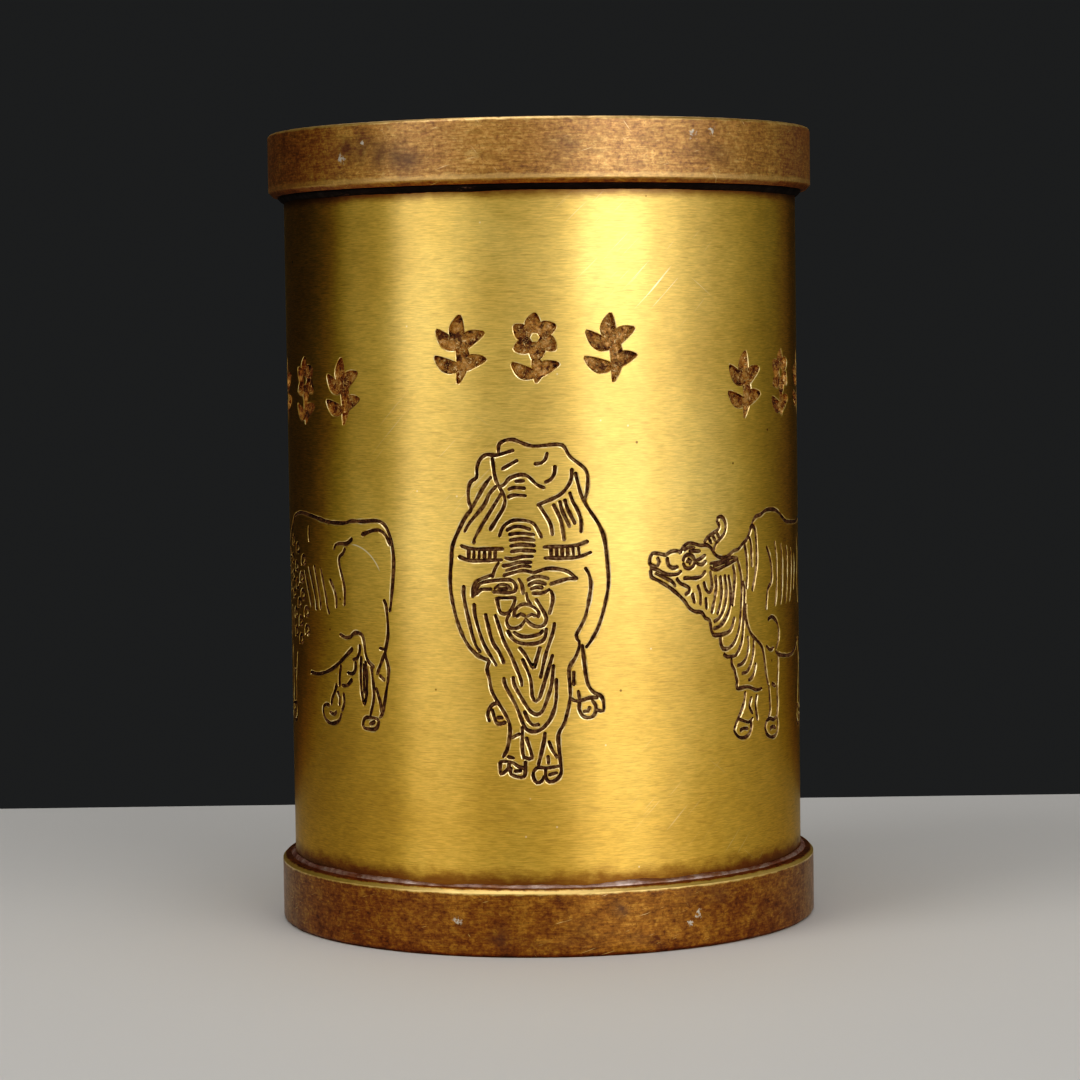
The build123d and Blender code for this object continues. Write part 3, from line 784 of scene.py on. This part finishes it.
class Metal:
    """A material that is being built. Each method adds nodes and returns the socket of the last one."""

    def __init__(self, name, **fixed):
        self.material = bpy.data.materials.new(name)
        self.material.use_nodes = True
        self.tree = self.material.node_tree
        self.shader = self.tree.nodes["Principled BSDF"]
        for key, value in fixed.items():
            self.shader.inputs[key.replace("_", " ")].default_value = value

    def add(self, kind, inputs, output=0, **settings):
        node = self.tree.nodes.new(kind)
        for key, value in settings.items():
            setattr(node, key, value)
        for key, value in inputs.items():
            if isinstance(value, bpy.types.NodeSocket):
                self.tree.links.new(value, node.inputs[key])
            elif value is not None:
                node.inputs[key].default_value = value
        return node.outputs[output]

    def math(self, operation, a, b=None, c=None):
        return self.add("ShaderNodeMath", {0: a, 1: b, 2: c}, operation=operation)

    def times(self, a, b):
        return self.math("MULTIPLY", a, b)

    def plus(self, a, b):
        return self.math("ADD", a, b)

    def minus(self, a, b):
        return self.math("SUBTRACT", a, b)

    def larger(self, a, b):
        return self.math("MAXIMUM", a, b)

    def position(self):
        return self.add("ShaderNodeTexCoord", {}, output="Object")

    def axes(self):
        return self.add("ShaderNodeSeparateXYZ", {0: self.position()}).node.outputs

    def height(self):
        return self.axes()["Z"]

    def radius(self):
        flat = self.add("ShaderNodeVectorMath", {0: self.position(), 1: (1, 1, 0)}, operation="MULTIPLY")
        return self.add("ShaderNodeVectorMath", {0: flat}, output="Value", operation="LENGTH")

    def turned(self):
        """A place as x, y and the distance along the section, so that grain runs round every face."""
        x, y, z = self.axes()
        along = self.math("MULTIPLY_ADD", self.radius(), FLAT_STRETCH, z)
        return self.add("ShaderNodeCombineXYZ", {"X": x, "Y": y, "Z": along})

    def unrolled(self):
        """A place on the tube as the distance round it, the height and nought."""
        x, y, z = self.axes()
        angle = self.math("ARCTAN2", x, self.times(y, -1.0))
        around = self.times(angle, TUBE_RADIUS * MM)
        return self.add("ShaderNodeCombineXYZ", {"X": around, "Y": z})

    def distance(self, place, point):
        """Distance of a place from a point given in millimetres."""
        return self.add("ShaderNodeVectorMath", {0: place, 1: Vector(point) * MM}, output="Value",
                        operation="DISTANCE")

    def spot(self, place, point, inner, outer):
        """One within the inner distance of a point and nought beyond the outer, all in millimetres."""
        return self.rise(self.distance(place, point), inner * MM, outer * MM, 1.0, 0.0)

    def noise(self, place, scale, seed, detail=2.0, rough=0.5, distortion=0.0, turn=(0, 0, 0)):
        """Noise between nought and one, with features per metre along each axis of the turned place."""
        if any(turn):
            place = self.add("ShaderNodeMapping", {"Vector": place, "Rotation": turn})
        moved_place = self.add("ShaderNodeMapping", {
            "Vector": place, "Location": (3.1 * seed, 1.7 * seed, 2.3 * seed), "Scale": scale})
        return self.add("ShaderNodeTexNoise", {
            "Vector": moved_place, "Scale": 1.0, "Detail": detail, "Roughness": rough,
            "Distortion": distortion})

    def cells(self, place, scale, seed):
        """Distance to the nearest of many scattered points, in cells."""
        moved_place = self.add("ShaderNodeMapping", {
            "Vector": place, "Location": (1.3 * seed, 2.9 * seed, 0.7 * seed),
            "Scale": (scale, scale, scale)})
        return self.add("ShaderNodeTexVoronoi", {"Vector": moved_place, "Scale": 1.0}, output="Distance")

    def rise(self, value, start, end, low=0.0, high=1.0):
        """A smooth step of a value from low at the start to high at the end."""
        return self.add("ShaderNodeMapRange", {
            "Value": value, "From Min": start, "From Max": end, "To Min": low, "To Max": high},
            interpolation_type="SMOOTHSTEP")

    def colours(self, value, *stops):
        """A colour ramp, with stops of (place, colour)."""
        output = self.add("ShaderNodeValToRGB", {0: value})
        ramp = output.node.color_ramp
        while len(ramp.elements) < len(stops):
            ramp.elements.new(0.5)
        for element, (place, colour) in zip(ramp.elements, stops):
            element.position = place
            element.color = (*colour, 1)
        return output

    def blend(self, factor, a, b, mode="MIX"):
        """Colour a changed towards colour b."""
        node = self.tree.nodes.new("ShaderNodeMix")
        node.data_type = "RGBA"
        node.blend_type = mode
        for key, value in (("Factor_Float", factor), ("A_Color", a), ("B_Color", b)):
            socket = next(s for s in node.inputs if s.identifier == key)
            if isinstance(value, bpy.types.NodeSocket):
                self.tree.links.new(value, socket)
            else:
                socket.default_value = value if key == "Factor_Float" else (*value, 1)
        return next(s for s in node.outputs if s.identifier == "Result_Color")

    def shade(self, colour, value, dark, light):
        """A colour made darker or lighter by a value between nought and one."""
        grey = self.rise(value, 0.33, 0.67, dark, light)
        return self.add("ShaderNodeVectorMath", {0: colour, "Scale": grey}, operation="SCALE")

    def finish(self, colour, roughness, relief, relief_height, brushed=0.0):
        """Connect the shader, with relief in metres, and brush marks that run round the cup."""
        links, sockets = self.tree.links, self.shader.inputs
        links.new(colour, sockets["Base Color"])
        links.new(roughness, sockets["Roughness"])
        bump = self.add("ShaderNodeBump", {"Height": relief, "Distance": relief_height, "Strength": 1.0})
        links.new(bump, sockets["Normal"])
        if brushed:
            sockets["Anisotropic"].default_value = brushed
            sockets["Anisotropic Rotation"].default_value = ACROSS
            tangent = self.add("ShaderNodeTangent", {}, direction_type="RADIAL", axis="Z")
            links.new(tangent, sockets["Tangent"])
        return self.material


def brushed_brass():
    """The outside of the tube: golden brass, brushed round, with hairlines, pits, a stain above the foot, a
    band below the rim that is partly stain and partly painted shadow, and painted reflection darkening its
    lower part.
    """
    metal = Metal("brushed_brass", Metallic=1.0, Specular_Tint=(1.0, 0.80, 0.50, 1.0),
                  Coat_Weight=0.30, Coat_Roughness=0.22, Coat_IOR=1.7)
    place, turned, height, unrolled = metal.position(), metal.turned(), metal.height(), metal.unrolled()
    clouds = metal.noise(place, (55, 55, 55), 1, detail=3)
    mottle = metal.noise(place, (420, 420, 700), 2, detail=4, rough=0.6)
    streaks = metal.noise(turned, (200, 200, 4200), 3, detail=2, rough=0.5)
    hairs = metal.noise(turned, (700, 700, 9500), 4, detail=3, rough=0.65)
    dashes = metal.noise(turned, (380, 380, 6000), 5, detail=1)
    colour = metal.colours(clouds, (0.30, (0.690, 0.450, 0.105)), (0.52, (0.765, 0.515, 0.125)),
                           (0.72, (0.820, 0.575, 0.150)))
    # Painted reflection: from the foot up to 60 mm the brass is darkened and turned more orange, standing in
    # for a dark surface mirrored in the lower tube.
    deeper = metal.rise(height, FOOT_TOP * MM, 60 * MM, 0.85, 0.0)
    colour = metal.blend(deeper, colour, (0.87, 0.765, 0.57), "MULTIPLY")
    colour = metal.shade(colour, mottle, 0.95, 1.04)
    colour = metal.shade(colour, streaks, 0.965, 1.025)
    colour = metal.shade(colour, hairs, 0.85, 1.11)
    dark_dash = metal.rise(dashes, 0.62, 0.72, 0.0, 0.30)
    colour = metal.blend(dark_dash, colour, (0.36, 0.19, 0.055))
    fine = metal.noise(unrolled, (4200, 90, 1), 6, turn=(0, 0, 0.80))
    crossing = metal.noise(unrolled, (3600, 80, 1), 7, turn=(0, 0, -0.95))
    scratches = metal.larger(metal.rise(fine, 0.66, 0.72), metal.rise(crossing, 0.71, 0.77))
    patchy = metal.rise(metal.noise(place, (30, 30, 30), 8), 0.54, 0.68, 0.0, 0.40)
    rubbed = metal.spot(unrolled, (18.5, 87.0, 0), 3, 8)
    scratches = metal.times(scratches, metal.larger(patchy, rubbed))
    bend = metal.minus(metal.distance(unrolled, (-28.4, 46.8, 0)), 5.95 * MM)
    bend = metal.rise(metal.math("ABSOLUTE", bend), 0.05 * MM, 0.12 * MM, 1.0, 0.0)
    bend = metal.times(bend, metal.spot(unrolled, (-25.2, 51.8, 0), 2.4, 3.4))
    scratches = metal.larger(scratches, bend)
    colour = metal.blend(metal.times(scratches, 0.8), colour, (1.0, 0.90, 0.60))
    pits = metal.rise(metal.cells(place, 160, 9), 0.020, 0.036, 1.0, 0.0)
    colour = metal.blend(metal.times(pits, 0.8), colour, (0.12, 0.05, 0.015))
    flecks = metal.rise(metal.cells(place, 210, 11), 0.018, 0.032, 1.0, 0.0)
    colour = metal.blend(metal.times(flecks, 0.4), colour, (1.0, 0.92, 0.66))
    edge = metal.noise(place, (320, 320, 500), 10, detail=5, rough=0.7)
    # Below the rim a dark band that is partly a real stain and partly painted shadow under the rim's
    # overhang; above the foot a real stain.
    rim_shadow_and_stain = metal.rise(metal.math("MULTIPLY_ADD", edge, 0.0012, height),
                       (RIM_BOTTOM - 1.7) * MM, (RIM_BOTTOM - 0.1) * MM)
    lower = metal.rise(metal.math("MULTIPLY_ADD", edge, 0.0034, height),
                       (FOOT_TOP + 2.2) * MM, (FOOT_TOP + 4.8) * MM, 1.0, 0.0)
    # Both bands together: real stain, and painted shadow below the rim.
    stain_and_shade = metal.larger(rim_shadow_and_stain, lower)
    colour = metal.blend(metal.times(stain_and_shade, 0.86), colour, (0.17, 0.055, 0.016))
    roughness = metal.rise(streaks, 0.3, 0.7, 0.39, 0.41)
    roughness = metal.math("MULTIPLY_ADD", stain_and_shade, 0.10, roughness)
    relief = metal.math("MULTIPLY_ADD", hairs, 0.8, metal.times(streaks, 0.25))
    relief = metal.minus(relief, metal.times(pits, 1.2))
    return metal.finish(colour, roughness, relief, 0.000006, brushed=0.75)


def rubbed_lip():
    """The lips of everything engraved: bare brass, rubbed bright, with a little tarnish in places."""
    metal = Metal("rubbed_lip", Metallic=1.0)
    tarnish = metal.noise(metal.position(), (700, 700, 700), 15, detail=4, rough=0.6)
    colour = metal.colours(tarnish, (0.34, (0.42, 0.25, 0.07)), (0.50, (0.76, 0.55, 0.23)),
                           (0.66, (0.97, 0.80, 0.44)))
    roughness = metal.rise(tarnish, 0.3, 0.7, 0.46, 0.32)
    return metal.finish(colour, roughness, tarnish, 0.00001)


def dull_brass():
    """The inside of the tube and the floor plate: tarnished brass with faint turning marks and streaks."""
    metal = Metal("dull_brass", Metallic=0.9)
    place, turned = metal.position(), metal.turned()
    clouds = metal.noise(place, (70, 70, 45), 21, detail=5, rough=0.6)
    grain = metal.noise(turned, (60, 60, 2600), 22, detail=3, rough=0.6)
    colour = metal.colours(clouds, (0.32, (0.19, 0.085, 0.028)), (0.50, (0.40, 0.215, 0.062)),
                           (0.70, (0.56, 0.345, 0.105)))
    colour = metal.shade(colour, grain, 0.82, 1.08)
    drips = metal.rise(metal.noise(place, (260, 260, 22), 23, detail=3), 0.58, 0.72, 0.0, 0.5)
    colour = metal.blend(drips, colour, (0.11, 0.05, 0.02))
    spots = metal.rise(metal.cells(place, 190, 24), 0.05, 0.10, 0.6, 0.0)
    colour = metal.blend(spots, colour, (0.07, 0.035, 0.02))
    roughness = metal.rise(clouds, 0.3, 0.7, 0.56, 0.40)
    return metal.finish(colour, roughness, grain, 0.00001, brushed=0.5)


def groove_patina():
    """The bottoms of the engraved lines: dark brown, with metal showing through in specks."""
    metal = Metal("groove_patina", Metallic=0.55)
    place = metal.position()
    speckle = metal.noise(place, (2300, 2300, 2300), 31, detail=3)
    patches = metal.noise(place, (260, 260, 260), 32, detail=2)
    value = metal.math("MULTIPLY_ADD", speckle, 0.6, metal.times(patches, 0.4))
    colour = metal.colours(value, (0.36, (0.036, 0.017, 0.009)), (0.50, (0.105, 0.056, 0.029)),
                           (0.66, (0.260, 0.160, 0.082)))
    roughness = metal.rise(speckle, 0.3, 0.7, 0.62, 0.46)
    return metal.finish(colour, roughness, speckle, 0.00003)


def recess_patina():
    """The floors of the ornaments: rough orange-brown with fine curls of tool marks and brassy high spots."""
    metal = Metal("recess_patina", Metallic=0.6)
    place = metal.position()
    mottle = metal.noise(place, (800, 800, 800), 41, detail=5, rough=0.7)
    curls = metal.noise(place, (1500, 1500, 1500), 42, detail=1, distortion=1.4)
    colour = metal.colours(mottle, (0.36, (0.050, 0.022, 0.013)), (0.47, (0.215, 0.090, 0.028)),
                           (0.56, (0.400, 0.190, 0.055)), (0.68, (0.560, 0.340, 0.150)))
    line = metal.math("ABSOLUTE", metal.minus(curls, 0.5))
    bright = metal.rise(line, 0.0, 0.045, 0.85, 0.0)
    colour = metal.blend(bright, colour, (0.85, 0.58, 0.28))
    dark = metal.rise(metal.noise(place, (1300, 1300, 1300), 43, detail=3), 0.56, 0.66, 0.0, 0.8)
    colour = metal.blend(dark, colour, (0.040, 0.018, 0.014))
    roughness = metal.rise(mottle, 0.3, 0.7, 0.56, 0.38)
    relief = metal.math("MULTIPLY_ADD", bright, 0.8, mottle)
    return metal.finish(colour, roughness, relief, 0.00020)


def worn_edges(metal, edges, raggedness):
    """The wear on the edges of a ring, as (radius, height, reach, strength), ragged where it fades."""
    radius, height = metal.radius(), metal.height()
    ragged = metal.noise(metal.position(), (600, 600, 900), 51, detail=4, rough=0.7)
    ragged = metal.times(metal.minus(ragged, 0.5), raggedness)
    wears = []
    for at_radius, at_height, reach, strength in edges:
        a = metal.math("DIVIDE", metal.minus(radius, at_radius * MM), reach * MM)
        b = metal.math("DIVIDE", metal.minus(height, at_height * MM), reach * MM)
        gap = metal.math("SQRT", metal.plus(metal.times(a, a), metal.times(b, b)))
        wears.append(metal.rise(metal.plus(gap, ragged), 0.45, 1.35, strength, 0.0))
    return reduce(metal.larger, wears)


def residue(metal, unrolled, spots, scale, seed):
    """Small specks of dried polish gathered at spots of (distance round, height, reach)."""
    specks = metal.noise(metal.position(), (scale, scale, scale), seed, detail=3, rough=0.6)
    grains = []
    for around, height, reach in spots:
        close = metal.rise(metal.distance(unrolled, (around, height, 0)), 0.0, reach * MM, 0.15, -0.25)
        grains.append(metal.rise(metal.plus(specks, close), 0.56, 0.68))
    return reduce(metal.larger, grains)


def browned_brass(name, tones, worn_colour, edges, raggedness, painted_shade_below, blotches, smudges, spots, seed):
    """The rings: brass under a mottled brown patina, rubbed bright along the edges.

    Below a given height the colour is darkened and warmed as painted shade on the down-facing faces. blotches
    is (features per metre, share).
    Smudges are soft dark places and spots are specks of dried polish, both as
    (distance round, height, reach).
    """
    metal = Metal(name, Metallic=0.85, Coat_Weight=0.32, Coat_Roughness=0.3, Coat_IOR=1.7)
    place, turned, unrolled = metal.position(), metal.turned(), metal.unrolled()
    scale, share = blotches
    broad = metal.noise(place, (scale, scale, scale * 1.3), seed, detail=5, rough=0.62)
    fine = metal.noise(place, (1500, 1500, 2100), seed + 1, detail=4, rough=0.7)
    streaks = metal.noise(turned, (520, 520, 4600), seed + 2, detail=2, rough=0.6)
    value = metal.math("MULTIPLY_ADD", fine, 1.1 - share, metal.times(broad, share))
    colour = metal.colours(value, *tones)
    colour = metal.shade(colour, streaks, 0.76, 1.16)
    specks = metal.rise(metal.noise(place, (2600, 2600, 3000), seed + 3, detail=1), 0.60, 0.70, 0.0, 0.5)
    colour = metal.blend(specks, colour, tones[0][1])
    dark = metal.rise(metal.noise(place, (75, 75, 160), seed + 4, detail=5, rough=0.6), 0.56, 0.72, 0.0, 0.35)
    for around, height, reach in smudges:
        away = metal.distance(unrolled, (around, height, 0))
        away = metal.math("MULTIPLY_ADD", broad, 2 * reach * MM, away)
        dark = metal.larger(dark, metal.rise(away, 0.7 * reach * MM, 2.5 * reach * MM, 0.78, 0.0))
    colour = metal.blend(dark, colour, (0.090, 0.045, 0.030))
    # Painted shade: below the given height the ring is darkened and warmed, on the chamfer under the rim and
    # at the base of the foot.
    under = metal.rise(metal.height(), (painted_shade_below - 0.2) * MM, painted_shade_below * MM, 0.85, 0.0)
    colour = metal.blend(under, colour, (0.70, 0.55, 0.30), "MULTIPLY")
    nicks = metal.rise(metal.noise(unrolled, (300, 5200, 1), seed + 5, turn=(0, 0, -0.30)), 0.71, 0.77)
    nicks = metal.larger(nicks, metal.rise(
        metal.noise(unrolled, (340, 4600, 1), seed + 6, turn=(0, 0, 0.95)), 0.73, 0.79))
    colour = metal.blend(metal.times(nicks, 0.55), colour, (0.90, 0.68, 0.34))
    wear = worn_edges(metal, edges, raggedness)
    colour = metal.blend(metal.times(wear, 0.8), colour, worn_colour)
    chalk = residue(metal, unrolled, spots, 2300, seed + 7)
    colour = metal.blend(metal.times(chalk, 0.75), colour, (0.66, 0.62, 0.52))
    roughness = metal.rise(value, 0.35, 0.75, 0.52, 0.42)
    roughness = metal.math("MULTIPLY_ADD", wear, -0.12, roughness)
    relief = metal.math("MULTIPLY_ADD", streaks, 0.6, metal.times(fine, 0.7))
    relief = metal.plus(relief, metal.times(chalk, 2.0))
    return metal.finish(colour, roughness, relief, 0.000015, brushed=0.35)


def solder_metal(name, clean, grime_and_shade):
    """Solder: grey with a pink cast and lumpy. All but a share of it is under a dark coat, which is dirt on
    the foot's bead; on the rim's bead it is near black and partly painted shadow under the rim's overhang.
    """
    metal = Metal(name, Metallic=0.75)
    place = metal.position()
    lumps = metal.noise(place, (500, 500, 500), 71, detail=5, rough=0.6)
    stain_and_shade = metal.noise(place, (150, 150, 500), 72, detail=5, rough=0.7)
    colour = metal.colours(lumps, (0.34, (0.17, 0.095, 0.075)), (0.52, (0.34, 0.225, 0.185)),
                           (0.70, (0.52, 0.41, 0.36)))
    # Where the dark coat lies: dirt, and on the rim's bead also painted shadow.
    grimed_and_shaded = metal.rise(stain_and_shade, clean - 0.06, clean + 0.06, 0.0, 0.95)
    colour = metal.blend(grimed_and_shaded, colour, grime_and_shade)
    roughness = metal.rise(lumps, 0.35, 0.70, 0.58, 0.38)
    return metal.finish(colour, roughness, lumps, 0.00003)


def rim_patina():
    """The rim: light brown, with a dark smudge at the left and specks of polish at both sides."""
    return browned_brass(
        "rim_patina",
        tones=((0.38, (0.205, 0.090, 0.040)), (0.50, (0.360, 0.172, 0.052)), (0.60, (0.465, 0.242, 0.070)),
               (0.72, (0.595, 0.358, 0.112))),
        worn_colour=(0.86, 0.58, 0.22),
        edges=((RIM_RADIUS, RIM_TOP, 0.36, 1.0), (BORE_RADIUS, RIM_TOP, 0.45, 1.0),
               (RIM_RADIUS, RIM_BOTTOM + RIM_CHAMFER + 0.18, 0.45, 0.38)),
        raggedness=2.2,
        # painted shade below this height, on the chamfer under the rim
        painted_shade_below=RIM_BOTTOM + RIM_CHAMFER,
        blotches=(210, 0.38),
        smudges=((-25.5, 104.4, 1.6), (-23.0, 103.8, 2.2), (-20.6, 103.2, 2.5), (-18.2, 102.8, 2.2),
                 (-16.2, 102.3, 1.7)),
        spots=((19.6, 105.2, 1.6), (22.6, 105.6, 1.4), (-26.5, 102.8, 1.8), (-23.0, 104.6, 1.0)),
        seed=60)


def foot_patina():
    """The foot: dark reddish brown, with specks of polish at the right of the front."""
    return browned_brass(
        "foot_patina",
        tones=((0.40, (0.102, 0.036, 0.009)), (0.50, (0.203, 0.076, 0.015)), (0.60, (0.302, 0.123, 0.022)),
               (0.72, (0.465, 0.222, 0.046))),
        worn_colour=(0.90, 0.64, 0.22),
        edges=((FOOT_RADIUS - 0.14, FOOT_TOP - 0.36, 0.35, 1.0),),
        raggedness=1.8,
        # painted shade below this height, at the base of the foot
        painted_shade_below=FOOT_BOTTOM + 0.5,
        blotches=(420, 0.5),
        smudges=((-6.0, 2.6, 1.6), (9.0, 6.0, 1.2)),
        spots=((19.4, 4.6, 1.5), (18.2, 3.4, 1.2), (-11.5, 4.6, 1.4)),
        seed=80)


def build_cup():
    """Make every piece of the cup with its material."""
    dull = dull_brass()
    engraved_tube([brushed_brass(), dull, groove_patina(), recess_patina(), rubbed_lip()])
    rim_ring(rim_patina())
    foot_ring(foot_patina())
    # The rim bead's near-black coat is partly dirt and partly painted shadow under the rim's overhang.
    rim_metal = solder_metal("rim_solder_metal", 0.34, (0.014, 0.008, 0.005))
    solder_bead("rim_solder_bead", "rim_solder", RIM_BEAD, False, 0.86, 0.35, rim_metal,
                RIM_BEAD_SEED)
    foot_metal = solder_metal("foot_solder_metal", 0.55, (0.22, 0.105, 0.060))
    solder_bead("foot_solder_bead", "foot_solder", FOOT_BEAD, True, 0.56, 1.0, foot_metal,
                FOOT_BEAD_SEED)
    plate = frame["nodes"]["floor_plate"]
    plate.data.materials.clear()
    plate.data.materials.append(dull)


# How far the floor reaches to each side and to the front, and how far behind, where the photo's table ends
FLOOR_REACH, FLOOR_BACK = 450, 107
FLOOR_COLOUR, FLOOR_ROUGHNESS = (0.56, 0.545, 0.52, 1), 0.7


def build_stage():
    """A plain pale floor under the cup."""
    corners = [(-FLOOR_REACH, -FLOOR_REACH, 0), (FLOOR_REACH, -FLOOR_REACH, 0),
               (FLOOR_REACH, FLOOR_BACK, 0), (-FLOOR_REACH, FLOOR_BACK, 0)]
    mesh = new_mesh("floor", corners, [(0, 1, 2, 3)])
    floor = new_object("floor", mesh)
    surface = Metal("pale_floor")
    surface.shader.inputs["Base Color"].default_value = FLOOR_COLOUR
    surface.shader.inputs["Roughness"].default_value = FLOOR_ROUGHNESS
    mesh.materials.append(surface.material)


# A curtain of soft panels round the cup, as (azimuth, watts). Azimuth is counted from the camera's side
# to the right, as seen from above.
PANELS = [(-88, 0.2), (-72, 0.15), (-56, 1.0), (-40, 0.65), (-24, 0.25), (-8, 0.35), (8, 0.6), (24, 1.8),
          (40, 1.8), (56, 1.05), (72, 0.5), (88, 0.3), (104, 0.15), (120, 0.1), (136, 0.05)]
PANEL_WIDTH, PANEL_HEIGHT = 250, 700
PANEL_DISTANCE, PANEL_ELEVATION = 900, 15
# Soft boxes overhead, as (azimuth, elevation, width, height, watts)
BOXES = [(-12, 68, 500, 360, 1.0), (36, 48, 500, 400, 0.5), (-52, 48, 400, 400, 1.8),
         (180, 86, 500, 400, 1.6), (180, 45, 600, 300, 0.4)]
# How the tones are deepened in the shadows: (linear value, value shown)
SHADOW_POINTS = [(0.035, 0.010), (0.10, 0.072), (0.30, 0.280)]
SURROUNDINGS = (0.0375, 0.0385, 0.039, 1)


def add_light(azimuth, elevation, width, height, watts):
    """A soft rectangular light aimed at the middle of the cup."""
    light = bpy.data.lights.new("soft_light", "AREA")
    light.shape = "RECTANGLE"
    light.size, light.size_y = width * MM, height * MM
    light.energy = watts
    lamp = new_object("soft_light", light)
    a, e = math.radians(azimuth), math.radians(elevation)
    away = Vector((math.sin(a) * math.cos(e), -math.cos(a) * math.cos(e), math.sin(e)))
    lamp.location = Vector((0, 0, (FOOT_BOTTOM + RIM_TOP) / 2)) * MM + away * PANEL_DISTANCE * MM
    lamp.rotation_euler = away.to_track_quat("Z", "Y").to_euler()
    lamp.visible_camera = False


def build_lights():
    """A soft curtain of light, brightest at the right and the left of the camera, and dark surroundings."""
    for azimuth, watts in PANELS:
        add_light(azimuth, PANEL_ELEVATION, PANEL_WIDTH, PANEL_HEIGHT, watts)
    for box in BOXES:
        add_light(*box)
    world = bpy.data.worlds.new("surroundings")
    world.use_nodes = True
    world.node_tree.nodes["Background"].inputs["Color"].default_value = SURROUNDINGS
    bpy.context.scene.world = world


# The camera as fitted to the outline of the cup in the photo. It looks down by the first of its turns,
# in degrees, then to the right by the second, and is rolled clockwise by the third.
CAMERA_PLACE = (0, -459.494, 79.847)
CAMERA_TURNS = (3.533, -0.069, -0.798)
CAMERA_SENSOR, CAMERA_LENS = 36.0, 110.97


def build_camera():
    """The camera, a little above the middle of the cup and looking slightly down."""
    pitch, yaw, roll = (math.radians(turn) for turn in CAMERA_TURNS)
    forward = Vector((math.sin(yaw) * math.cos(pitch), math.cos(yaw) * math.cos(pitch), -math.sin(pitch)))
    level = Vector((math.cos(yaw), -math.sin(yaw), 0))
    upright = level.cross(forward)
    right = math.cos(roll) * level + math.sin(roll) * upright
    up = -math.sin(roll) * level + math.cos(roll) * upright
    lens = bpy.data.cameras.new("camera")
    lens.sensor_width, lens.lens = CAMERA_SENSOR, CAMERA_LENS
    lens.clip_start, lens.clip_end = 0.01, 20.0
    camera = new_object("camera", lens)
    turn = Matrix((right, up, -forward)).transposed().to_4x4()
    camera.matrix_world = Matrix.Translation(Vector(CAMERA_PLACE) * MM) @ turn
    bpy.context.scene.camera = camera


def set_tones():
    """Plain colours with slightly deeper shadows, as a camera makes them."""
    view = bpy.context.scene.view_settings
    view.view_transform = "Standard"
    view.use_curve_mapping = True
    curves = view.curve_mapping
    curves.use_clip = False
    curves.extend = "EXTRAPOLATED"
    shadows = curves.curves[3]
    for place, value in SHADOW_POINTS:
        shadows.points.new(place, value)
    curves.update()


build_cup()
build_stage()
build_lights()
build_camera()
set_tones()
